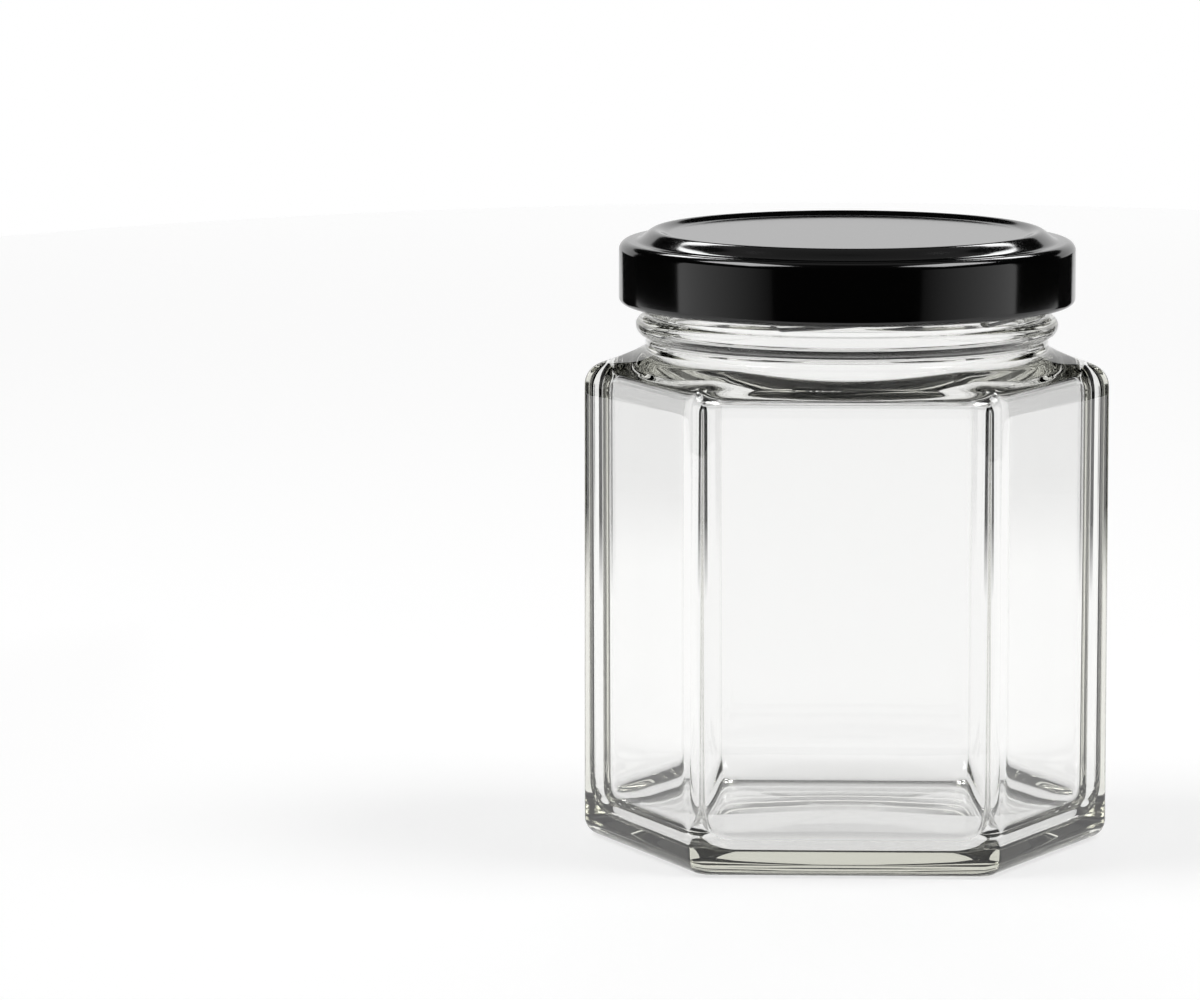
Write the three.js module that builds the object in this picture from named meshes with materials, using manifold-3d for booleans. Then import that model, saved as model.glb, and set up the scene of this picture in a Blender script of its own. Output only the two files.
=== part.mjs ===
// An empty hexagonal glass jar with a round neck, shut by a black lacquered twist-off lid.
// Millimetres, +Z up. The origin is the centre of the base on the surface the jar stands on.
// The two widest flats of the body face -Y and +Y, so that two of its corners lie on the X axis.
import * as THREE from 'three';
import { LoftGeometry } from 'three/addons/geometries/LoftGeometry.js';
import { mergeVertices } from 'three/addons/utils/BufferGeometryUtils.js';
import Module from 'manifold-3d';

// Body of the jar, outside
// All flats are equally far from the axis. The four beside the front and back are turned a little
// more than the 60 degrees of an even hexagon, which makes the front and back wider.
const ACROSS_FLATS = 69.5;
const SIDE_TURN = THREE.MathUtils.degToRad(64);
const CORNER_RADIUS = 2.4;
const WALL_TOP = 67;
const HEEL_RADIUS = 2.6;
const SHOULDER_RADIUS = 3.4;
const SHOULDER_TURN = THREE.MathUtils.degToRad(70);

// Underside of the base: a flat hexagonal ring to stand on around a shallow push-up
const BEARING_WIDTH = 4.5;
const PUSH_UP = 1.4;

// Round neck with its bead and its screw thread
const NECK_RADIUS = 29.4;
const NECK_BASE = 72.3;
const NECK_FILLET = 1;
const NECK_FILLET_TURN = THREE.MathUtils.degToRad(63);
const BEAD_RADIUS = 1.5;
const BEAD_HEIGHT = 75.9;
const RIM_TOP = 88.4;
const RIM_RADIUS = 1.4;
const THREAD_STARTS = 6;
const THREAD_RADIUS = 0.9;
const THREAD_REACH = 30.6;
const THREAD_BOTTOM = 78.8;
const THREAD_RISE = 2.2;
const THREAD_TURN = THREE.MathUtils.degToRad(54);
const FIRST_THREAD = THREE.MathUtils.degToRad(-108);

// Inside of the jar. The two corners at its sides are rounder than the four at the front and back.
const BORE_RADIUS = 26.5;
const BORE_BASE = 69.3;
const BORE_FILLET = 2;
const INNER_TURN = THREE.MathUtils.degToRad(75);
const INNER_CORNER = 3.8;
const INNER_SIDE_CORNER = 13;
const WALL_AT_SHOULDER = 2;
const WALL_AT_HEEL = 2.3;
const FLOOR_HEIGHT = 3;
const FLOOR_RADIUS = 5;
const FLOOR_RISE = 1.2;

// Pressed steel lid
const LID_RADIUS = 33.35;
const LID_BOTTOM = 79.1;
const LID_SHEET = 0.55;
const CURL_RADIUS = 0.95;
const CURL_TURN = THREE.MathUtils.degToRad(225);
const SKIRT_ROUND = 1.4;
const LEDGE_HEIGHT = 88.3;
const LEDGE_RADIUS = 31;
const CREST_RADIUS = 28.1;
const CREST_HEIGHT = 89.9;
const PANEL_RADIUS = 25.9;
const PANEL_DROP = 0.6;

// Fineness of the facets
const FLAT_STEPS = 4;
const CORNER_STEPS = 2;
const ARC_STEPS = 3;
const LID_STEPS = 64;
const LID_ARC_STEPS = 4;
const DOME_SHARES = [0, 0.35, 0.7, 1];
const THREAD_SIDES = 8;
const THREAD_STEPS = 8;

const BODY_REACH = ACROSS_FLATS / 2;
const FRONT = -Math.PI / 2;
const TURNS = [SIDE_TURN, Math.PI - 2 * SIDE_TURN, SIDE_TURN, SIDE_TURN, Math.PI - 2 * SIDE_TURN, SIDE_TURN];

const mix = (from, to, share) => from + (to - from) * share;
const shares = (steps) => Array.from({ length: steps + 1 }, (_, i) => i / steps);
const ease = (share) => share * share * (3 - 2 * share);

// Angle from the foot of the axis on a flat to where the flat ends and the round corner starts.
// halfTurn is the angle from there to the middle of the corner.
function cornerStart(reach, corner, halfTurn) {
  return Math.atan2((reach - corner) * Math.tan(halfTurn), reach);
}

// Distance from the axis to a hexagon with round corners, at an angle from the foot on a flat.
// reach is the distance to the flats. A corner as large as the reach makes a circle.
function sectionRadius(angle, reach, corner, halfTurn) {
  if (angle <= cornerStart(reach, corner, halfTurn)) return reach / Math.cos(angle);
  const toCorner = halfTurn - angle;
  const arcCentre = (reach - corner) / Math.cos(halfTurn);
  const aside = arcCentre * Math.sin(toCorner);
  return arcCentre * Math.cos(toCorner) + Math.sqrt(corner * corner - aside * aside);
}

// Angles from the foot on a flat to the middle of the corner, closer together on the corner.
function flatToCorner(halfTurn) {
  const start = cornerStart(BODY_REACH, CORNER_RADIUS, halfTurn);
  const flat = shares(FLAT_STEPS).map((share) => start * share);
  const round = shares(CORNER_STEPS).slice(1).map((share) => mix(start, halfTurn, share));
  return [...flat, ...round];
}

// One level ring of the jar's surface, from the front once around.
function ring({ reach, corner, sideCorner = corner, z }) {
  const points = [];
  const addPoint = (turn, angle, halfTurn) => {
    const cornerRadius = halfTurn === SIDE_TURN / 2 ? corner : sideCorner;
    const radius = sectionRadius(angle, reach, cornerRadius, halfTurn);
    points.push(new THREE.Vector3(radius * Math.cos(turn), radius * Math.sin(turn), z));
  };
  let facing = FRONT;
  for (const turn of TURNS) {
    const angles = flatToCorner(turn / 2);
    const nextFacing = facing + turn;
    for (const angle of angles) addPoint(facing + angle, angle, turn / 2);
    for (const angle of angles.slice(1, -1).reverse()) addPoint(nextFacing - angle, angle, turn / 2);
    facing = nextFacing;
  }
  return points;
}

// Stations along an arc in reach and height, around a centre and between two angles.
function arc(reach, z, radius, from, to, corner, sideCorner = corner) {
  return shares(ARC_STEPS).map((share) => {
    const angle = mix(from, to, share);
    return { reach: reach + radius * Math.cos(angle), corner, sideCorner, z: z + radius * Math.sin(angle) };
  });
}

// The same arc with circles instead of hexagons.
function roundArc(radius, z, arcRadius, from, to) {
  const stations = arc(radius, z, arcRadius, from, to);
  return stations.map((station) => ({ ...station, corner: station.reach, sideCorner: station.reach }));
}

function between(first, last, share) {
  return {
    reach: mix(first.reach, last.reach, share),
    corner: mix(first.corner, last.corner, share),
    sideCorner: mix(first.sideCorner, last.sideCorner, share),
    z: mix(first.z, last.z, share),
  };
}

// Underside, from the middle of the push-up out to the heel.
function underside() {
  const bearing = BODY_REACH - HEEL_RADIUS;
  const dome = bearing - BEARING_WIDTH;
  const rings = DOME_SHARES.map((share) => ({
    reach: dome * share,
    corner: mix(dome * share, CORNER_RADIUS, share * share),
    z: PUSH_UP * (1 - ease(share)),
  }));
  return [...rings, { reach: bearing, corner: CORNER_RADIUS, z: 0 }];
}

// Shoulder of the outer or inner skin: over the top edge of the faces, then up a slope that turns the
// hexagon into a circle, and through a fillet into the upright neck or bore.
function shoulder(edge, fillet) {
  const slope = [1 / 3, 2 / 3].map((share) => between(edge.at(-1), fillet[0], share));
  return [...edge, ...slope, ...fillet];
}

function outerShoulder() {
  const edgeReach = BODY_REACH - SHOULDER_RADIUS;
  const filletStart = Math.PI + NECK_FILLET_TURN;
  return shoulder(
    arc(edgeReach, WALL_TOP, SHOULDER_RADIUS, 0, SHOULDER_TURN, CORNER_RADIUS),
    roundArc(NECK_RADIUS + NECK_FILLET, NECK_BASE + NECK_FILLET, NECK_FILLET, filletStart, Math.PI),
  );
}

// The inner shoulder is flatter than the outer one, so the glass is thickest under the neck.
function innerShoulder() {
  const edgeReach = BODY_REACH - SHOULDER_RADIUS;
  const edgeRadius = SHOULDER_RADIUS - WALL_AT_SHOULDER;
  const filletStart = Math.PI + INNER_TURN;
  return shoulder(
    arc(edgeReach, WALL_TOP, edgeRadius, 0, INNER_TURN, INNER_CORNER, INNER_SIDE_CORNER),
    roundArc(BORE_RADIUS + BORE_FILLET, BORE_BASE + BORE_FILLET, BORE_FILLET, filletStart, Math.PI),
  );
}

// Bead on the outside of the neck, then over the rim into the bore.
function neck() {
  const quarter = Math.PI / 2;
  const rimHeight = RIM_TOP - RIM_RADIUS;
  return [
    ...roundArc(NECK_RADIUS, BEAD_HEIGHT, BEAD_RADIUS, -quarter, quarter),
    ...roundArc(NECK_RADIUS - RIM_RADIUS, rimHeight, RIM_RADIUS, 0, quarter),
    ...roundArc(BORE_RADIUS + RIM_RADIUS, rimHeight, RIM_RADIUS, quarter, Math.PI),
  ];
}

// Inside, from the bore out to the hexagonal chamber and down to the floor.
function inside() {
  const flat = BODY_REACH - WALL_AT_HEEL - FLOOR_RADIUS;
  const filletHeight = FLOOR_HEIGHT + FLOOR_RADIUS;
  const quarter = Math.PI / 2;
  const fillet = arc(flat, filletHeight, FLOOR_RADIUS, 0, -quarter, INNER_CORNER, INNER_SIDE_CORNER);
  const floor = DOME_SHARES.slice(0, -1).reverse().map((share) => ({
    reach: flat * share,
    corner: mix(flat * share, INNER_CORNER, share * share),
    sideCorner: mix(flat * share, INNER_SIDE_CORNER, share * share),
    z: FLOOR_HEIGHT + FLOOR_RISE * (1 - ease(share)),
  }));
  return [...innerShoulder().reverse(), ...fillet, ...floor];
}

function jarBody() {
  const heel = arc(BODY_REACH - HEEL_RADIUS, HEEL_RADIUS, HEEL_RADIUS, -Math.PI / 2, 0, CORNER_RADIUS);
  const stations = [
    ...underside(),
    ...heel.slice(1),
    ...outerShoulder(),
    ...neck(),
    ...inside(),
  ];
  return new LoftGeometry(stations.map(ring));
}

// One start of the thread: a ridge that climbs to the right around the neck.
class ThreadPath extends THREE.Curve {
  constructor(start) {
    super();
    this.start = start;
  }

  getPoint(share, target = new THREE.Vector3()) {
    const radius = THREAD_REACH - THREAD_RADIUS;
    const turn = this.start + THREAD_TURN * share;
    const z = THREAD_BOTTOM + THREAD_RISE * share;
    return target.set(radius * Math.cos(turn), radius * Math.sin(turn), z);
  }
}

function threadRidge(start) {
  const path = new ThreadPath(start);
  const section = new THREE.Shape().absarc(0, 0, THREAD_RADIUS, 0, 2 * Math.PI);
  const ridge = new THREE.ExtrudeGeometry(section, {
    steps: THREAD_STEPS,
    curveSegments: THREAD_SIDES / 2,
    extrudePath: path,
  });
  const ends = [0, 1].map((share) => {
    const tip = new THREE.SphereGeometry(THREAD_RADIUS, THREAD_SIDES, THREAD_SIDES / 2);
    return tip.translate(...path.getPoint(share));
  });
  return [ridge, ...ends];
}

const wasm = await Module();
wasm.setup();

// A closed geometry as a solid that can be joined to others. The triangles that have shrunk to
// a line, where a ring ends in a point on the axis, are left out.
function solid(geometry) {
  const bare = new THREE.BufferGeometry();
  bare.setAttribute('position', geometry.attributes.position);
  bare.setIndex(geometry.index);
  const merged = mergeVertices(bare, 1e-3);
  const corners = merged.index.array;
  const triangles = [];
  for (let first = 0; first < corners.length; first += 3) {
    const [a, b, c] = corners.slice(first, first + 3);
    if (a !== b && b !== c && c !== a) triangles.push(a, b, c);
  }
  return new wasm.Manifold(new wasm.Mesh({
    numProp: 3,
    vertProperties: merged.attributes.position.array,
    triVerts: new Uint32Array(triangles),
  }));
}

function fuse(geometries) {
  const joined = geometries.map(solid).reduce((whole, piece) => whole.add(piece));
  const mesh = joined.getMesh();
  const geometry = new THREE.BufferGeometry();
  geometry.setAttribute('position', new THREE.BufferAttribute(mesh.vertProperties, 3));
  geometry.setIndex(new THREE.BufferAttribute(mesh.triVerts, 1));
  geometry.computeVertexNormals();
  return geometry;
}

function jarGeometry() {
  const starts = shares(THREAD_STARTS).slice(1).map((share) => FIRST_THREAD + share * 2 * Math.PI);
  return fuse([jarBody(), ...starts.flatMap(threadRidge)]);
}

// The lid's outline, from the middle of its panel over the crest and the skirt, around the curl
// at the bottom edge and back under the sheet to the axis.
function lidGeometry() {
  const panel = CREST_HEIGHT - PANEL_DROP;
  const skirtCentre = LID_RADIUS - SKIRT_ROUND;
  const skirtTop = LEDGE_HEIGHT - SKIRT_ROUND;
  const curlCentre = LID_RADIUS - CURL_RADIUS;
  const curlHeight = LID_BOTTOM + CURL_RADIUS;
  const outline = new THREE.Path().moveTo(0, panel);

  // A step up or down in the sheet, level at both ends.
  const stepTo = (radius, height) => {
    const from = outline.currentPoint;
    const middle = (from.x + radius) / 2;
    outline.bezierCurveTo(middle, from.y, middle, height, radius, height);
  };

  outline.lineTo(PANEL_RADIUS, panel);
  stepTo(CREST_RADIUS, CREST_HEIGHT);
  stepTo(LEDGE_RADIUS, LEDGE_HEIGHT);
  outline.absarc(skirtCentre, skirtTop, SKIRT_ROUND, Math.PI / 2, 0, true);
  outline.absarc(curlCentre, curlHeight, CURL_RADIUS, 0, -CURL_TURN, true);
  outline.lineTo(LID_RADIUS - LID_SHEET, curlHeight + CURL_RADIUS);
  outline.lineTo(LID_RADIUS - LID_SHEET, skirtTop);
  outline.lineTo(skirtCentre, LEDGE_HEIGHT - LID_SHEET);
  outline.lineTo(LEDGE_RADIUS, LEDGE_HEIGHT - LID_SHEET);
  outline.lineTo(CREST_RADIUS, CREST_HEIGHT - LID_SHEET);
  outline.lineTo(PANEL_RADIUS, panel - LID_SHEET);
  outline.lineTo(0, panel - LID_SHEET);
  const profile = outline.getPoints(LID_ARC_STEPS).reverse();
  return new THREE.LatheGeometry(profile, LID_STEPS).rotateX(Math.PI / 2);
}

const glass = new THREE.MeshStandardMaterial({
  color: 0xf2f5f2,
  roughness: 0.03,
  metalness: 0,
  transparent: true,
  opacity: 0.35,
});
const blackLacquer = new THREE.MeshStandardMaterial({ color: 0x060606, roughness: 0.16, metalness: 0 });

const jar = new THREE.Mesh(jarGeometry(), glass);
jar.name = 'jar';
const lid = new THREE.Mesh(lidGeometry(), blackLacquer);
lid.name = 'lid';

const lidded = new THREE.Group();
lidded.add(jar, lid);

export default lidded;
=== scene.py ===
import math

import bmesh
import bpy
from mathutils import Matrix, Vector


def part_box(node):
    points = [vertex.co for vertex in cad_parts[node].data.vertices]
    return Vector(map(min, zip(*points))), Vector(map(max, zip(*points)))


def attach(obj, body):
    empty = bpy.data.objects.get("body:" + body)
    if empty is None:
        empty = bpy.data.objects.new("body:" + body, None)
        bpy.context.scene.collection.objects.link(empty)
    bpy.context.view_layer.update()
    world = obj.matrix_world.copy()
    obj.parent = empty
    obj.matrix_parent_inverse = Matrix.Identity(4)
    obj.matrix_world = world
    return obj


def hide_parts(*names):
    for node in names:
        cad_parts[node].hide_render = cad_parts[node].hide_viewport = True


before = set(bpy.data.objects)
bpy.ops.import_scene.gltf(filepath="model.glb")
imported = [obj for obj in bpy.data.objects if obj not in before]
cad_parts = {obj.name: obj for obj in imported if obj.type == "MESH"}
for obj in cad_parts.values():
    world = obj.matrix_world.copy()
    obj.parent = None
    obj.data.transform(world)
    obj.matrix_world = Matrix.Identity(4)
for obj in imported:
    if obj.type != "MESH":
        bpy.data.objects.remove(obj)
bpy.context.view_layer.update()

JAR_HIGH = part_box("jar")[1]
LID_LOW, LID_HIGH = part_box("lid")

bl_info = {
    "name": "Hexagonal Glass Jar",
    "version": (1, 0, 0),
    "blender": (4, 5, 0),
    "location": "View3D > Sidebar > Jar",
    "description": "A hexagonal glass jar with a black twist-off lid, on a pale studio floor",
    "category": "Add Mesh",
}

MM = 0.001

# Fillets where the shoulder turns up into the neck, outside and inside
NECK_FILLET = 1 * MM
BORE_FILLET = 2 * MM

# The thread: its ridges, and in degrees how far each runs and where the first one starts
THREAD_STARTS = 6
THREAD_TURN = 54
THREAD_FIRST = -108

# How finely the corners, the flats and the slope of the shoulder are drawn
CORNER_SEGMENTS = 6
FLAT_CUTS = 11
SLOPE_RINGS = 6

# Where the rings of a dome lie, as shares of its reach, and how far each is drawn to a circle
DOME_SHARES = (0.85, 0.7, 0.55, 0.4, 0.25, 0.1)
DOME_ROUNDING = 0.4

# How near a ring lies to the end of a straight stretch, which keeps it straight when smoothed
HOLD = 0.4 * MM

# How finely a ridge of the thread is drawn, and the last ring of its end as a share of its radius
RIDGE_SIDES = 16
RIDGE_STEPS = 27
RIDGE_END_RINGS = 5
RIDGE_TIP = 0.05

# How finely the lid and the table are drawn
LID_STEPS = 160
TABLE_SIDES = 128

# Points that are nearer to each other than this become one
MERGE_DISTANCE = 0.001 * MM

# Edges that turn by more than this stay sharp
SHARP_EDGE = math.radians(40)

# What is to the left and to the right of the viewer
SIDES = (("left", -1), ("right", 1))

# The lights point at the middle of the jar, and a faded one runs between these strengths
LIGHT_AIM = Vector((0, 0, 45 * MM))
FADE_BRIGHT = 1.3
FADE_DARK = 0.1

# A black card thins out over this height
CARD_EDGE = 14 * MM

# The table glows with these strengths at the jar and this far behind it
GLOW_AT_JAR = 0.64
GLOW_AT_BACK = 0.75
GLOW_DEPTH = 0.9

# The camera's aim puts the jar to the right of the middle, and lens and sensor are in millimetres
CAMERA_AIM = Vector((-36.1 * MM, 0, 49.8 * MM))
CAMERA_LENS = 227
CAMERA_SENSOR = 36
CAMERA_NEAR = 0.01

# How often light is followed through glass and between glossy surfaces
GLASS_BOUNCES = 24
GLOSS_BOUNCES = 12


def length(name, description, default):
    """A size that a user may change, in metres."""
    return bpy.props.FloatProperty(
        name=name,
        description=description,
        default=default,
        precision=5,
        subtype="DISTANCE",
        unit="LENGTH",
    )


def shade(name, description, default):
    """A colour that a user may change, as an sRGB hex value."""
    return bpy.props.StringProperty(name=name, description=description, default=default)


class GlassSettings(bpy.types.PropertyGroup):
    """Sizes of the glass, outside and inside, and its colour"""

    reach: length("Reach", "Axis to each of the flats", JAR_HIGH.y)
    side_turn: bpy.props.FloatProperty(
        name="Side turn",
        description="Angle between the front and the flats beside it, 60 degrees in an even hexagon",
        default=math.radians(64),
        subtype="ANGLE",
    )
    corner: length("Corner", "Radius of the six upright edges", 2.4 * MM)
    heel: length("Heel", "Radius of the bottom edge", 2.6 * MM)
    wall_top: length("Wall top", "Height where the flats end", 67 * MM)
    shoulder: length("Shoulder", "Radius of the edge over the flats", 3.4 * MM)
    bearing: length("Bearing width", "Width of the ring the jar stands on", 4.5 * MM)
    push_up: length("Push-up", "Height of the dome under the base", 1.4 * MM)
    neck: length("Neck", "Radius of the neck", 29.4 * MM)
    neck_base: length("Neck base", "Height where the shoulder meets the neck", 72.3 * MM)
    bead: length("Bead", "Radius of the bead around the neck", 1.5 * MM)
    bead_height: length("Bead height", "Height of the middle of the bead", 75.9 * MM)
    rim_top: length("Rim top", "Height of the rim", JAR_HIGH.z)
    rim: length("Rim", "Radius of the rim's edges", 1.4 * MM)
    bore: length("Bore", "Radius of the mouth inside", 26.5 * MM)
    bore_base: length("Bore base", "Height where the chamber has narrowed to the bore", 69.3 * MM)
    inner_corner: length("Inner corner", "Radius of the chamber's front and back corners", 3.8 * MM)
    inner_side_corner: length("Inner side corner", "Radius of the chamber's side corners", 13 * MM)
    wall_high: length("Upper wall", "Thickness of the glass under the shoulder", 2 * MM)
    wall_low: length("Lower wall", "Thickness of the glass above the floor", 2.3 * MM)
    floor: length("Floor", "Height of the chamber's floor at its edge", 3 * MM)
    floor_edge: length("Floor edge", "Radius between floor and wall", 5 * MM)
    floor_rise: length("Floor rise", "How far the floor rises to its middle", 1.2 * MM)
    thread: length("Thread", "Radius of the thread's round ridges", 0.9 * MM)
    thread_reach: length("Thread reach", "Axis to the crest of the thread", 30.6 * MM)
    thread_low: length("Thread low", "Height of the lower end of each ridge", 78.8 * MM)
    thread_rise: length("Thread rise", "How far each ridge climbs", 2.2 * MM)
    cast: shade("Cast", "Colour that light takes on its way through the glass", "#E8E8DE")


class LidSettings(bpy.types.PropertyGroup):
    """Sizes of the lid and its colour"""

    radius: length("Radius", "Radius over the skirt", LID_HIGH.x)
    bottom: length("Bottom", "Height of the lid's bottom edge", LID_LOW.z)
    sheet: length("Sheet", "Thickness of the pressed sheet", 0.55 * MM)
    curl: length("Curl", "Radius of the curled bottom edge", 0.95 * MM)
    skirt_round: length("Skirt edge", "Radius over the top of the skirt", 1.4 * MM)
    ledge_height: length("Ledge height", "Height of the ledge inside the skirt", 88.3 * MM)
    ledge: length("Ledge", "Radius where the ledge starts", 31 * MM)
    crest: length("Crest", "Radius of the raised ring", 28.1 * MM)
    crest_height: length("Crest height", "Height of the raised ring", LID_HIGH.z)
    panel: length("Panel", "Radius of the flat panel", 25.9 * MM)
    panel_drop: length("Panel drop", "How far the panel lies below the ring", 0.6 * MM)
    lacquer: shade("Lacquer", "Colour of the lid's coating", "#050505")


class StageSettings(bpy.types.PropertyGroup):
    """Sizes of the table, places of the camera and colours around the jar"""

    floor_width: length("Floor width", "Width of the oval table top", 0.92)
    floor_depth: length("Floor depth", "Depth of the oval table top", 1.6)
    floor_back: length("Floor back", "How far the table's middle lies behind the jar", 0.17)
    apron: length("Apron", "How far before the jar the unmirrored part of the table starts", 0.14)
    camera_distance: length("Camera distance", "Camera to the jar's axis", 1.1)
    camera_height: length("Camera height", "Camera above the floor", 0.2)
    backdrop: shade("Backdrop", "Colour behind the jar", "#FFFFFF")
    glow: shade("Floor", "Colour of the light that comes up through the table top", "#FFFFFF")


def linear(hex_colour):
    """An sRGB hex colour as linear RGBA."""
    channels = [int(hex_colour[i : i + 2], 16) / 255 for i in (1, 3, 5)]
    return [c / 12.92 if c <= 0.04045 else ((c + 0.055) / 1.055) ** 2.4 for c in channels] + [1.0]


def add_node(tree, kind, **inputs):
    """Adds a node. Each of its inputs is set to a number or colour, or linked to an output."""
    node = tree.nodes.new(kind)
    for name, value in inputs.items():
        socket = node.inputs[name.replace("_", " ")]
        if isinstance(value, bpy.types.NodeSocket):
            tree.links.new(value, socket)
        else:
            socket.default_value = value
    return node


def new_material(name):
    """An empty node material, its node tree and its output node."""
    material = bpy.data.materials.new(name)
    material.use_nodes = True
    material.node_tree.nodes.clear()
    output = material.node_tree.nodes.new("ShaderNodeOutputMaterial")
    return material, material.node_tree, output


def flint_glass(cast):
    """Colourless soda-lime container glass, pressed and blown in an iron mould: sharp reflections,
    a surface that swims a little where the mould chilled it, and a grey-green cast only where one
    looks far through it."""
    material, tree, output = new_material("soda_lime_flint_glass")
    place = add_node(tree, "ShaderNodeTexCoord").outputs["Object"]
    swim_width = 14 * MM
    swim = add_node(
        tree,
        "ShaderNodeTexNoise",
        Vector=place,
        Scale=1 / swim_width,
        Detail=1.0,
        Roughness=0.4,
    )
    bump = add_node(
        tree,
        "ShaderNodeBump",
        Strength=0.05,
        Distance=0.4 * MM,
        Height=swim.outputs["Fac"],
    )
    glass = add_node(
        tree,
        "ShaderNodeBsdfPrincipled",
        Base_Color=linear("#FFFFFF"),
        Roughness=0.0,
        IOR=1.52,
        Transmission_Weight=1.0,
        Normal=bump.outputs["Normal"],
    )
    tint = add_node(tree, "ShaderNodeVolumeAbsorption", Color=linear(cast), Density=24.0)
    tree.links.new(glass.outputs["BSDF"], output.inputs["Surface"])
    tree.links.new(tint.outputs["Volume"], output.inputs["Volume"])
    return material


def black_lacquer(colour):
    """Tinplate roller-coated with black stoving lacquer and pressed: deep black under a clear
    gloss with the faint orange peel of the coating."""
    material, tree, output = new_material("black_lacquered_tinplate")
    place = add_node(tree, "ShaderNodeTexCoord").outputs["Object"]
    peel_width = 0.9 * MM
    peel = add_node(
        tree,
        "ShaderNodeTexNoise",
        Vector=place,
        Scale=1 / peel_width,
        Detail=2.0,
        Roughness=0.5,
    )
    bump = add_node(
        tree,
        "ShaderNodeBump",
        Strength=0.02,
        Distance=0.02 * MM,
        Height=peel.outputs["Fac"],
    )
    lacquer = add_node(
        tree,
        "ShaderNodeBsdfPrincipled",
        Base_Color=linear(colour),
        Roughness=0.1,
        IOR=1.5,
        Normal=bump.outputs["Normal"],
    )
    tree.links.new(lacquer.outputs["BSDF"], output.inputs["Surface"])
    return material


def black_card():
    """Matt black card, which swallows nearly all light that falls on it. It thins out towards its
    lower edge, so that the lines it draws in the glass end softly."""
    material, tree, output = new_material("matt_black_card")
    place = add_node(tree, "ShaderNodeTexCoord").outputs["Object"]
    height = add_node(tree, "ShaderNodeSeparateXYZ", Vector=place).outputs["Z"]
    share = add_node(tree, "ShaderNodeMapRange", Value=height, From_Max=CARD_EDGE)
    clear = add_node(tree, "ShaderNodeBsdfTransparent")
    card = add_node(tree, "ShaderNodeBsdfDiffuse", Color=linear("#0C0C0C"))
    mix = add_node(tree, "ShaderNodeMixShader", Fac=share.outputs["Result"])
    tree.links.new(clear.outputs["BSDF"], mix.inputs[1])
    tree.links.new(card.outputs["BSDF"], mix.inputs[2])
    tree.links.new(mix.outputs["Shader"], output.inputs["Surface"])
    return material


def opal_acrylic(glow):
    """Matt opal acrylic sheet, lit from below by lamps that are stronger towards the back: a thing
    on it has only a faint shadow."""
    material, tree, output = new_material("opal_acrylic")
    place = add_node(tree, "ShaderNodeTexCoord").outputs["Object"]
    depth = add_node(tree, "ShaderNodeSeparateXYZ", Vector=place).outputs["Y"]
    strength = add_node(
        tree,
        "ShaderNodeMapRange",
        Value=depth,
        From_Max=GLOW_DEPTH,
        To_Min=GLOW_AT_JAR,
        To_Max=GLOW_AT_BACK,
    )
    sheet = add_node(
        tree,
        "ShaderNodeBsdfPrincipled",
        Base_Color=linear("#9C9C9C"),
        Roughness=0.6,
        Specular_IOR_Level=0.2,
        Emission_Color=linear(glow),
        Emission_Strength=strength.outputs["Result"],
    )
    tree.links.new(sheet.outputs["BSDF"], output.inputs["Surface"])
    return material


def ease(share):
    """A rise from 0 to 1 that is level at both ends."""
    return share * share * (3 - 2 * share)


def between(first, last, share):
    """The point at a share of the way between two points of a section."""
    return (first[0] + (last[0] - first[0]) * share, first[1] + (last[1] - first[1]) * share)


def arc(radius, height, bend, start, end, steps):
    """Points of an arc around a centre, as radius and height, with the angles in degrees."""
    turns = [math.radians(start + (end - start) * i / steps) for i in range(steps + 1)]
    return [(radius + bend * math.cos(turn), height + bend * math.sin(turn)) for turn in turns]


def step(first, last, steps):
    """Points of a smooth step between two points, level at both ends, without the first."""
    points = []
    for i in range(1, steps + 1):
        radius = between(first, last, i / steps)[0]
        height = between(first, last, ease(i / steps))[1]
        points.append((radius, height))
    return points


def mesh_in_edit():
    return bmesh.from_edit_mesh(bpy.context.object.data)


def select_only(kind, test):
    """Selects the verts, edges or faces that pass a test, and nothing else."""
    bpy.ops.mesh.select_all(action="DESELECT")
    mesh = mesh_in_edit()
    for element in getattr(mesh, kind):
        if test(element):
            element.select_set(True)
    bmesh.update_edit_mesh(bpy.context.object.data)


def select_open_edges():
    select_only("edges", lambda edge: edge.is_boundary)


def turn_faces(outwards):
    """Turns all faces of the mesh in edit mode away from the jar's axis, or all towards it."""
    bpy.ops.mesh.select_all(action="SELECT")
    bpy.ops.mesh.normals_make_consistent(inside=False)
    widest = max(mesh_in_edit().faces, key=lambda face: face.calc_center_median().xy.length)
    if (widest.normal.xy.dot(widest.calc_center_median().xy) > 0) != outwards:
        bpy.ops.mesh.flip_normals()


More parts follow.
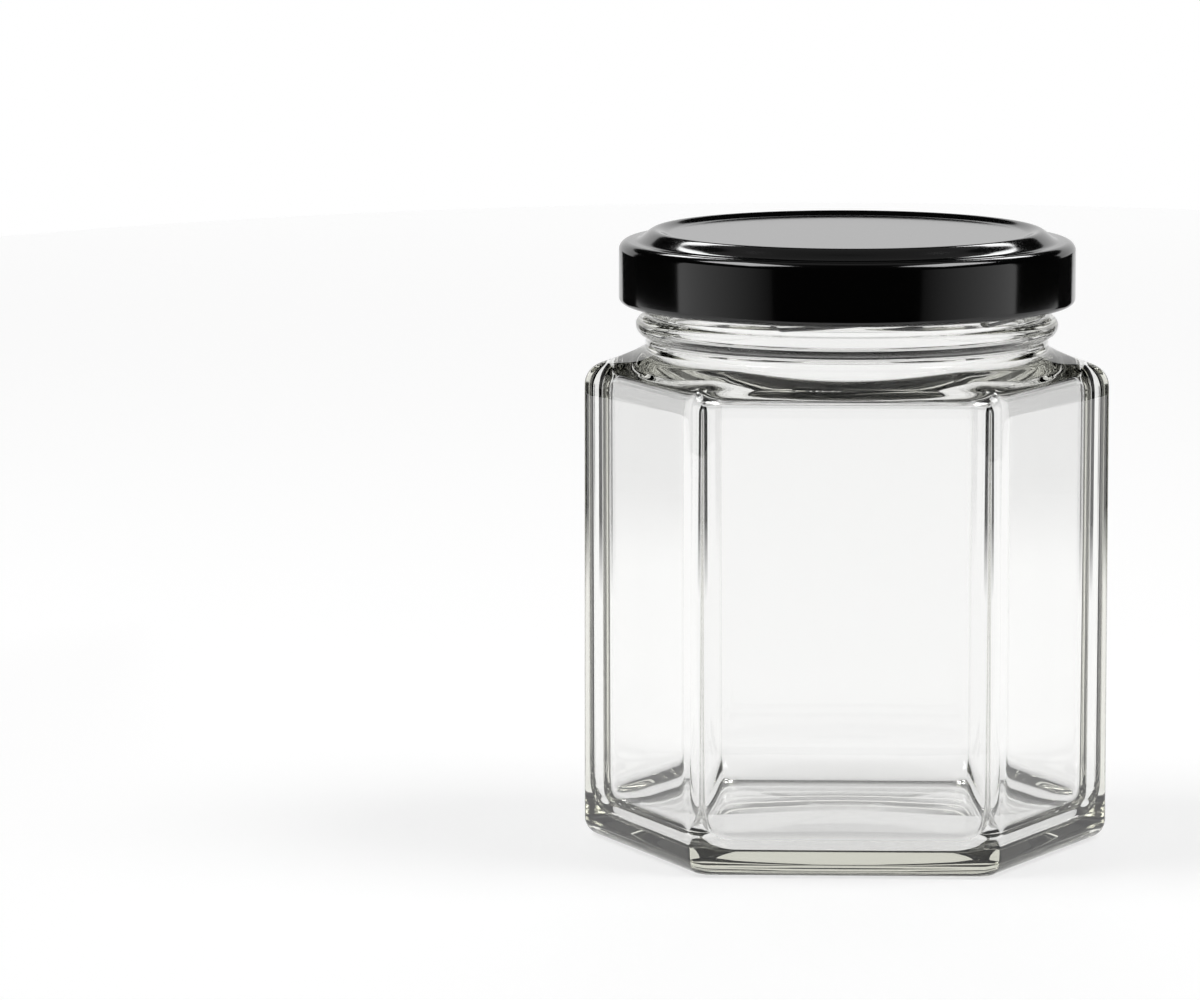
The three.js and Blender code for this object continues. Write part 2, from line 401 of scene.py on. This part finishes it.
def start_hexagon(jar, name, reach, corner, side_corner, height):
    """A level wire hexagon with round corners around the axis, left in edit mode with all of it
    selected. The two corners at its sides have a radius of their own."""
    front_half = jar.side_turn / 2
    side_half = math.pi / 2 - jar.side_turn
    even = math.pi / 6
    widest = reach / math.cos(side_half)
    bpy.ops.object.select_all(action="DESELECT")
    bpy.ops.mesh.primitive_circle_add(
        vertices=6, radius=widest, location=(0, 0, height), rotation=(0, 0, even)
    )
    bpy.context.object.name = name
    bpy.ops.object.transform_apply()
    bpy.ops.object.mode_set(mode="EDIT")
    bpy.ops.mesh.select_mode(type="VERT")
    select_only("verts", lambda vertex: abs(vertex.co.y) > reach / 2)
    widen = reach * math.tan(front_half) / (widest * math.sin(even))
    deepen = reach / (widest * math.cos(even))
    bpy.ops.transform.resize(value=(widen, deepen, 1), center_override=(0, 0, height))
    front_offset = corner * math.tan(front_half)
    bpy.ops.mesh.bevel(offset=front_offset, segments=CORNER_SEGMENTS, affect="VERTICES")
    select_only("verts", lambda vertex: abs(vertex.co.y) < reach / 4)
    side_offset = side_corner * math.tan(side_half)
    bpy.ops.mesh.bevel(offset=side_offset, segments=CORNER_SEGMENTS, affect="VERTICES")
    bpy.ops.mesh.select_mode(type="EDGE")
    select_only("edges", lambda edge: edge.calc_length() > reach / 3)
    bpy.ops.mesh.subdivide(number_cuts=FLAT_CUTS)
    bpy.ops.mesh.select_all(action="SELECT")
    return bpy.context.object


def draw_on(reach, height, rounding=0.0):
    """Extrudes the selected ring to a new reach and height, and brings it nearer to a circle."""
    bpy.ops.mesh.extrude_edges_move()
    if rounding > 0:
        bpy.ops.transform.tosphere(value=rounding)
    ring = [vertex.co for vertex in mesh_in_edit().verts if vertex.select]
    level = ring[0].z
    grow = reach / max(point.y for point in ring)
    bpy.ops.transform.resize(value=(grow, grow, 1), center_override=(0, 0, level))
    bpy.ops.transform.translate(value=(0, 0, height - level))


def draw_along(points):
    """Draws the selected ring through points of a section, each a reach and a height."""
    for reach, height in points:
        draw_on(reach, height)


def draw_wall(foot, top, shares):
    """Draws the selected ring up a straight wall, with a ring at each share of the way."""
    draw_along(between(foot, top, share) for share in shares)


def draw_dome(reach, height, rise):
    """Closes the selected ring with a shallow dome that ends in a point on the axis."""
    for share in DOME_SHARES:
        draw_on(reach * share, height + rise * (1 - ease(share)), rounding=DOME_ROUNDING)
    bpy.ops.mesh.merge(type="CENTER")
    select_open_edges()


def draw_shoulder(edge, fillet):
    """Draws the selected ring over the top edge of the flats, up a slope that makes it round, and
    through a fillet into the upright neck or bore."""
    draw_along(edge)
    for i in range(1, SLOPE_RINGS + 1):
        reach, height = between(edge[-1], fillet[0], i / SLOPE_RINGS)
        draw_on(reach, height, rounding=1 / (SLOPE_RINGS + 1 - i))
    draw_along(fillet[1:])


def neck_fillet(radius, base, fillet, start):
    """The section of the fillet at the foot of the neck or bore, from the slope to upright."""
    return arc(radius + fillet, base + fillet, fillet, start=start, end=180, steps=5)


def outer_skin(jar):
    """The outside of the jar, from the middle of the base to the top of the rim."""
    base = jar.reach - jar.heel
    corner = jar.corner * base / jar.reach
    skin = start_hexagon(jar, "glass_jar", base, corner, corner, 0)
    draw_on(base - 0.5 * jar.bearing, 0)
    draw_on(base - jar.bearing, 0)
    draw_dome(base - jar.bearing, 0, jar.push_up)

    draw_along(arc(base, jar.heel, jar.heel, start=-90, end=0, steps=6)[1:])
    draw_on(jar.reach, jar.heel + HOLD)
    draw_wall((jar.reach, jar.heel), (jar.reach, jar.wall_top), shares=(0.1, 0.5, 0.9))
    draw_on(jar.reach, jar.wall_top - HOLD)

    edge = arc(jar.reach - jar.shoulder, jar.wall_top, jar.shoulder, start=0, end=70, steps=8)
    draw_shoulder(edge, neck_fillet(jar.neck, jar.neck_base, NECK_FILLET, start=243))
    draw_along(arc(jar.neck, jar.bead_height, jar.bead, start=-85, end=85, steps=12))
    bead_top = jar.bead_height + jar.bead
    rim_base = jar.rim_top - jar.rim
    draw_on(jar.neck, bead_top + HOLD)
    draw_wall((jar.neck, bead_top), (jar.neck, rim_base), shares=(0.2, 0.4, 0.6, 0.8))
    draw_along(arc(jar.neck - jar.rim, rim_base, jar.rim, start=0, end=75, steps=5))
    turn_faces(outwards=True)
    bpy.ops.object.mode_set(mode="OBJECT")
    return skin


def inner_skin(jar):
    """The inside of the jar, from the middle of its floor to the top of the rim."""
    top = jar.reach - jar.wall_high
    bottom = jar.reach - jar.wall_low
    flat = bottom - jar.floor_edge
    skin = start_hexagon(
        jar, "chamber", flat, jar.inner_corner, jar.inner_side_corner, jar.floor
    )
    draw_dome(flat, jar.floor, jar.floor_rise)
    wall_base = jar.floor + jar.floor_edge
    draw_along(arc(flat, wall_base, jar.floor_edge, start=-90, end=0, steps=8)[1:])
    draw_wall((bottom, wall_base), (top, jar.wall_top), shares=(0.03, 0.3, 0.6, 0.97))

    bend = jar.shoulder - jar.wall_high
    edge = arc(jar.reach - jar.shoulder, jar.wall_top, bend, start=0, end=75, steps=6)
    draw_shoulder(edge, neck_fillet(jar.bore, jar.bore_base, BORE_FILLET, start=255))
    bore_bottom = jar.bore_base + BORE_FILLET
    rim_base = jar.rim_top - jar.rim
    draw_wall((jar.bore, bore_bottom), (jar.bore, rim_base), shares=(0.05, 0.3, 0.6, 0.95))
    draw_along(arc(jar.bore + jar.rim, rim_base, jar.rim, start=180, end=90, steps=5))
    turn_faces(outwards=False)
    bpy.ops.object.mode_set(mode="OBJECT")
    return skin


def apply_modifier(piece, kind, **settings):
    """Adds a modifier to a piece and applies it."""
    bpy.ops.object.select_all(action="DESELECT")
    bpy.context.view_layer.objects.active = piece
    piece.select_set(True)
    modifier = piece.modifiers.new(kind.lower(), kind)
    for name, value in settings.items():
        setattr(modifier, name, value)
    bpy.ops.object.modifier_apply(modifier=modifier.name)


def join(pieces):
    """Joins pieces into the first one."""
    bpy.ops.object.select_all(action="DESELECT")
    for piece in pieces:
        piece.select_set(True)
    bpy.context.view_layer.objects.active = pieces[0]
    bpy.ops.object.join()
    return pieces[0]


def round_ridge_end(centre, forward):
    """Closes the open end of a ridge at a centre with half a ball. Forward points along the ridge
    and is as long as the ball's radius."""
    near = 1.2 * forward.length
    select_only(
        "edges", lambda edge: edge.is_boundary and (edge.verts[0].co - centre).length < near
    )
    for i in range(1, RIDGE_END_RINGS + 1):
        before = math.pi / 2 * (i - 1) / RIDGE_END_RINGS
        after = math.pi / 2 * i / RIDGE_END_RINGS
        shrink = max(math.cos(after), RIDGE_TIP) / math.cos(before)
        middle = centre + forward * math.sin(before)
        bpy.ops.mesh.extrude_edges_move()
        bpy.ops.transform.resize(value=(shrink, shrink, shrink), center_override=middle)
        bpy.ops.transform.translate(value=forward * (math.sin(after) - math.sin(before)))
    bpy.ops.mesh.merge(type="CENTER")


def thread_ridge(jar, start):
    """One start of the thread: a round ridge that climbs around the neck, with round ends."""
    turn = math.radians(THREAD_TURN)
    middle = jar.thread_reach - jar.thread
    bpy.ops.object.select_all(action="DESELECT")
    bpy.ops.mesh.primitive_circle_add(
        vertices=RIDGE_SIDES,
        radius=jar.thread,
        location=(middle, 0, jar.thread_low),
        rotation=(math.pi / 2, 0, 0),
    )
    ridge = bpy.context.object
    bpy.ops.object.transform_apply()
    apply_modifier(
        ridge,
        "SCREW",
        angle=turn,
        screw_offset=jar.thread_rise,
        steps=RIDGE_STEPS,
        render_steps=RIDGE_STEPS,
        axis="Z",
    )
    bpy.ops.object.mode_set(mode="EDIT")
    bpy.ops.mesh.select_mode(type="EDGE")
    for at, ahead in ((0, -1), (turn, 1)):
        height = jar.thread_low + jar.thread_rise * at / turn
        centre = Vector((middle * math.cos(at), middle * math.sin(at), height))
        round_ridge_end(centre, Vector((-math.sin(at), math.cos(at), 0)) * ahead * jar.thread)
    bpy.ops.mesh.select_all(action="SELECT")
    bpy.ops.mesh.normals_make_consistent(inside=False)
    bpy.ops.object.mode_set(mode="OBJECT")
    ridge.rotation_euler.z = start
    bpy.ops.object.transform_apply()
    return ridge


def finish_piece(piece, node, material):
    """Shades a piece, gives it its material and puts it in the place of a solid."""
    bpy.ops.object.select_all(action="DESELECT")
    bpy.context.view_layer.objects.active = piece
    piece.select_set(True)
    bpy.ops.object.shade_smooth_by_angle(angle=SHARP_EDGE)
    piece.data.materials.clear()
    piece.data.materials.append(material)
    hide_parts(node)
    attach(piece, "root")


class JAR_OT_blow_glass(bpy.types.Operator):
    """Makes the glass: its outer and inner skin, joined at the rim, and the thread on its neck"""

    bl_idname = "jar.blow_glass"
    bl_label = "Blow the Glass"

    def execute(self, context):
        jar = context.scene.jar_glass
        glass = join([outer_skin(jar), inner_skin(jar)])
        bpy.ops.object.mode_set(mode="EDIT")
        select_open_edges()
        bpy.ops.mesh.bridge_edge_loops()
        bpy.ops.object.mode_set(mode="OBJECT")
        apply_modifier(glass, "SUBSURF", levels=1, render_levels=1)
        spacing = 360 / THREAD_STARTS
        starts = [math.radians(THREAD_FIRST + spacing * i) for i in range(THREAD_STARTS)]
        thread = join([thread_ridge(jar, start) for start in starts])
        apply_modifier(glass, "BOOLEAN", operation="UNION", solver="MANIFOLD", object=thread)
        bpy.data.objects.remove(thread)
        finish_piece(glass, "jar", flint_glass(jar.cast))
        return {"FINISHED"}


def lid_outline(lid):
    """Half of the lid's section, from the middle of the panel over the skirt and back under it."""
    panel_height = lid.crest_height - lid.panel_drop
    panel = (lid.panel, panel_height)
    crest = (lid.crest, lid.crest_height)
    ledge = (lid.ledge, lid.ledge_height)
    skirt_top = lid.ledge_height - lid.skirt_round
    skirt_centre = lid.radius - lid.skirt_round
    skirt_inside = lid.skirt_round - lid.sheet
    curl_centre = lid.radius - lid.curl
    curl_height = lid.bottom + lid.curl
    inside = lid.radius - lid.sheet
    return [
        (0, panel_height),
        (lid.panel - lid.sheet, panel_height),
        panel,
        *step(panel, crest, steps=8),
        *step(crest, ledge, steps=12),
        *arc(skirt_centre, skirt_top, lid.skirt_round, start=90, end=0, steps=10),
        *arc(curl_centre, curl_height, lid.curl, start=0, end=-225, steps=20),
        (inside, curl_height + lid.curl),
        *arc(skirt_centre, skirt_top, skirt_inside, start=0, end=90, steps=6),
        (lid.ledge, lid.ledge_height - lid.sheet),
        (lid.crest, lid.crest_height - lid.sheet),
        (lid.panel, panel_height - lid.sheet),
        (0, panel_height - lid.sheet),
    ]


class JAR_OT_press_lid(bpy.types.Operator):
    """Makes the pressed lid: its section is drawn point by point and spun around the axis"""

    bl_idname = "jar.press_lid"
    bl_label = "Press the Lid"

    def execute(self, context):
        settings = context.scene.jar_lid
        outline = [Vector((radius, 0, height)) for radius, height in lid_outline(settings)]
        bpy.ops.object.select_all(action="DESELECT")
        # A small plane is merged into the first point of the section
        bpy.ops.mesh.primitive_plane_add(size=1 * MM, location=outline[0])
        lid = context.object
        lid.name = "twist_off_lid"
        bpy.ops.object.transform_apply()
        bpy.ops.object.mode_set(mode="EDIT")
        bpy.ops.mesh.select_mode(type="VERT")
        bpy.ops.mesh.select_all(action="SELECT")
        bpy.ops.mesh.merge(type="CENTER")
        for before, after in zip(outline, outline[1:]):
            bpy.ops.mesh.extrude_region_move(TRANSFORM_OT_translate={"value": after - before})
        bpy.ops.mesh.select_all(action="SELECT")
        bpy.ops.mesh.spin(steps=LID_STEPS, angle=2 * math.pi, center=(0, 0, 0), axis=(0, 0, 1))
        bpy.ops.mesh.select_all(action="SELECT")
        bpy.ops.mesh.remove_doubles(threshold=MERGE_DISTANCE)
        bpy.ops.mesh.normals_make_consistent(inside=False)
        bpy.ops.object.mode_set(mode="OBJECT")
        finish_piece(lid, "lid", black_lacquer(settings.lacquer))
        return {"FINISHED"}


def away(azimuth, elevation=0):
    """The direction away from the jar at two angles in degrees. Azimuth 0 is in front of the jar,
    and it grows to the right of the viewer."""
    turn = math.radians(azimuth)
    lift = math.radians(elevation)
    return Vector(
        (math.sin(turn) * math.cos(lift), -math.cos(turn) * math.cos(lift), math.sin(lift))
    )


def fade_across(lamp, first, last):
    """Makes a light's strength run evenly from one upright edge to the other."""
    lamp.data.use_nodes = True
    tree = lamp.data.node_tree
    across = add_node(tree, "ShaderNodeNewGeometry").outputs["Parametric"]
    share = add_node(tree, "ShaderNodeSeparateXYZ", Vector=across).outputs["X"]
    strength = add_node(tree, "ShaderNodeMapRange", Value=share, To_Min=first, To_Max=last)
    tree.links.new(strength.outputs["Result"], tree.nodes["Emission"].inputs["Strength"])


def softbox(name, azimuth, elevation, distance, width, height, brightness, through_glass=True):
    """A soft light that faces the jar and that the camera doesn't see. Brightness 1 shows as
    white. A light that isn't seen through glass still shows as a reflection."""
    out = away(azimuth, elevation)
    bpy.ops.object.light_add(type="AREA", location=LIGHT_AIM + out * distance)
    lamp = bpy.context.object
    lamp.name = name
    lamp.rotation_euler = out.to_track_quat("Z", "Y").to_euler()
    lamp.data.shape = "RECTANGLE"
    lamp.data.size = width
    lamp.data.size_y = height
    lamp.data.energy = brightness * math.pi * width * height
    lamp.visible_camera = False
    lamp.visible_transmission = through_glass
    return lamp


def flag(name, material, azimuth, distance, width, height):
    """A black card that stands behind the jar and draws dark lines along the edges of the glass.
    The camera doesn't see it, and it throws no shadow."""
    place = away(azimuth) * distance + Vector((0, 0, height / 2))
    bpy.ops.object.select_all(action="DESELECT")
    bpy.ops.mesh.primitive_plane_add(
        size=1, location=place, rotation=(math.pi / 2, 0, math.radians(azimuth))
    )
    card = bpy.context.object
    card.name = name
    card.scale = (width, height, 1)
    bpy.ops.object.transform_apply()
    card.data.materials.append(material)
    card.visible_camera = False
    card.visible_diffuse = False
    card.visible_shadow = False


def lay_table(context, stage):
    """An oval table top. Its part before the jar is a piece of its own that the lid doesn't mirror,
    so that the skirt stays black."""
    bpy.ops.object.select_all(action="DESELECT")
    bpy.ops.mesh.primitive_circle_add(
        vertices=TABLE_SIDES,
        radius=stage.floor_width / 2,
        fill_type="NGON",
        location=(0, stage.floor_back, 0),
    )
    table = context.object
    table.name = "table_top"
    bpy.ops.transform.resize(value=(1, stage.floor_depth / stage.floor_width, 1))
    bpy.ops.object.transform_apply()
    table.data.materials.append(opal_acrylic(stage.glow))
    bpy.ops.object.mode_set(mode="EDIT")
    bpy.ops.mesh.select_all(action="SELECT")
    bpy.ops.mesh.bisect(plane_co=(0, -stage.apron, 0), plane_no=(0, 1, 0))
    select_only("faces", lambda face: face.calc_center_median().y < -stage.apron)
    bpy.ops.mesh.separate(type="SELECTED")
    bpy.ops.object.mode_set(mode="OBJECT")
    apron = next(piece for piece in context.selected_objects if piece != table)
    apron.name = "table_apron"
    apron.visible_glossy = False


def hang_lights():
    """A backdrop and a ceiling, and on each side three lights: one beside the jar that fades, one
    above it, and a small one behind it that shows in the lid and leaves the table alone."""
    softbox(
        "backdrop",
        azimuth=180,
        elevation=0,
        distance=1.2,
        width=2.4,
        height=1.0,
        brightness=0.85,
    )
    for side, sign in SIDES:
        beside = softbox(
            f"{side}_softbox",
            azimuth=65 * sign,
            elevation=-4,
            distance=0.9,
            width=0.95,
            height=0.9,
            brightness=1.0,
            through_glass=False,
        )
        if side == "left":
            fade_across(beside, FADE_BRIGHT, FADE_DARK)
        else:
            fade_across(beside, FADE_DARK, FADE_BRIGHT)
        softbox(
            f"upper_{side}_softbox",
            azimuth=80 * sign,
            elevation=58,
            distance=0.9,
            width=0.5,
            height=0.35,
            brightness=9.0,
        )
        rear = softbox(
            f"rear_{side}_softbox",
            azimuth=152 * sign,
            elevation=42,
            distance=0.9,
            width=0.24,
            height=0.15,
            brightness=9.0,
            through_glass=False,
        )
        rear.visible_diffuse = False
    softbox(
        "ceiling",
        azimuth=180,
        elevation=70,
        distance=1.0,
        width=1.0,
        height=0.6,
        brightness=0.2,
    )


def stand_flags():
    """A black card on each side, behind the jar."""
    card = black_card()
    for side, sign in SIDES:
        flag(f"{side}_flag", card, azimuth=138 * sign, distance=0.24, width=0.1, height=0.08)


def surround(scene, colour):
    """Surroundings that the camera sees in a colour, and that light nothing."""
    world = bpy.data.worlds.new("white_studio")
    scene.world = world
    world.use_nodes = True
    tree = world.node_tree
    tree.nodes.clear()
    seen = add_node(tree, "ShaderNodeBackground", Color=linear(colour), Strength=1.0)
    dark = add_node(tree, "ShaderNodeBackground", Color=linear("#000000"), Strength=0.0)
    path = add_node(tree, "ShaderNodeLightPath")
    mix = add_node(tree, "ShaderNodeMixShader", Fac=path.outputs["Is Camera Ray"])
    output = add_node(tree, "ShaderNodeOutputWorld")
    tree.links.new(dark.outputs["Background"], mix.inputs[1])
    tree.links.new(seen.outputs["Background"], mix.inputs[2])
    tree.links.new(mix.outputs["Shader"], output.inputs["Surface"])


def place_camera(scene, stage):
    """A long lens in front of the jar that looks slightly down on it."""
    place = Vector((0, -stage.camera_distance, stage.camera_height))
    bpy.ops.object.camera_add(location=place)
    camera = bpy.context.object
    camera.rotation_euler = (CAMERA_AIM - place).to_track_quat("-Z", "Y").to_euler()
    camera.data.lens = CAMERA_LENS
    camera.data.sensor_width = CAMERA_SENSOR
    camera.data.clip_start = CAMERA_NEAR
    scene.camera = camera


class JAR_OT_set_stage(bpy.types.Operator):
    """Sets the pale oval table, the lights and black cards, the surroundings and the camera"""

    bl_idname = "jar.set_stage"
    bl_label = "Set the Stage"

    def execute(self, context):
        scene = context.scene
        stage = scene.jar_stage
        lay_table(context, stage)
        hang_lights()
        stand_flags()
        surround(scene, stage.backdrop)
        place_camera(scene, stage)
        scene.view_settings.view_transform = "Standard"
        scene.cycles.max_bounces = GLASS_BOUNCES
        scene.cycles.transmission_bounces = GLASS_BOUNCES
        scene.cycles.glossy_bounces = GLOSS_BOUNCES
        return {"FINISHED"}


class JAR_PT_sidebar(bpy.types.Panel):
    """Lists the sizes and colours, and the steps that make the jar and its stage"""

    bl_idname = "JAR_PT_sidebar"
    bl_label = "Hexagonal Jar"
    bl_space_type = "VIEW_3D"
    bl_region_type = "UI"
    bl_category = "Jar"

    def draw(self, context):
        for group in GROUPS:
            settings = getattr(context.scene, group)
            for name in settings.bl_rna.properties.keys():
                if name not in ("rna_type", "name"):
                    self.layout.prop(settings, name)
        for operator in OPERATORS:
            self.layout.operator(operator.bl_idname)


GROUPS = {"jar_glass": GlassSettings, "jar_lid": LidSettings, "jar_stage": StageSettings}
OPERATORS = (JAR_OT_blow_glass, JAR_OT_press_lid, JAR_OT_set_stage)


def register():
    for name, group in GROUPS.items():
        bpy.utils.register_class(group)
        setattr(bpy.types.Scene, name, bpy.props.PointerProperty(type=group))
    for operator in OPERATORS:
        bpy.utils.register_class(operator)
    bpy.utils.register_class(JAR_PT_sidebar)


def unregister():
    bpy.utils.unregister_class(JAR_PT_sidebar)
    for operator in OPERATORS:
        bpy.utils.unregister_class(operator)
    for name, group in GROUPS.items():
        delattr(bpy.types.Scene, name)
        bpy.utils.unregister_class(group)


def main():
    register()
    bpy.ops.jar.blow_glass()
    bpy.ops.jar.press_lid()
    bpy.ops.jar.set_stage()


if __name__ == "__main__":
    main()
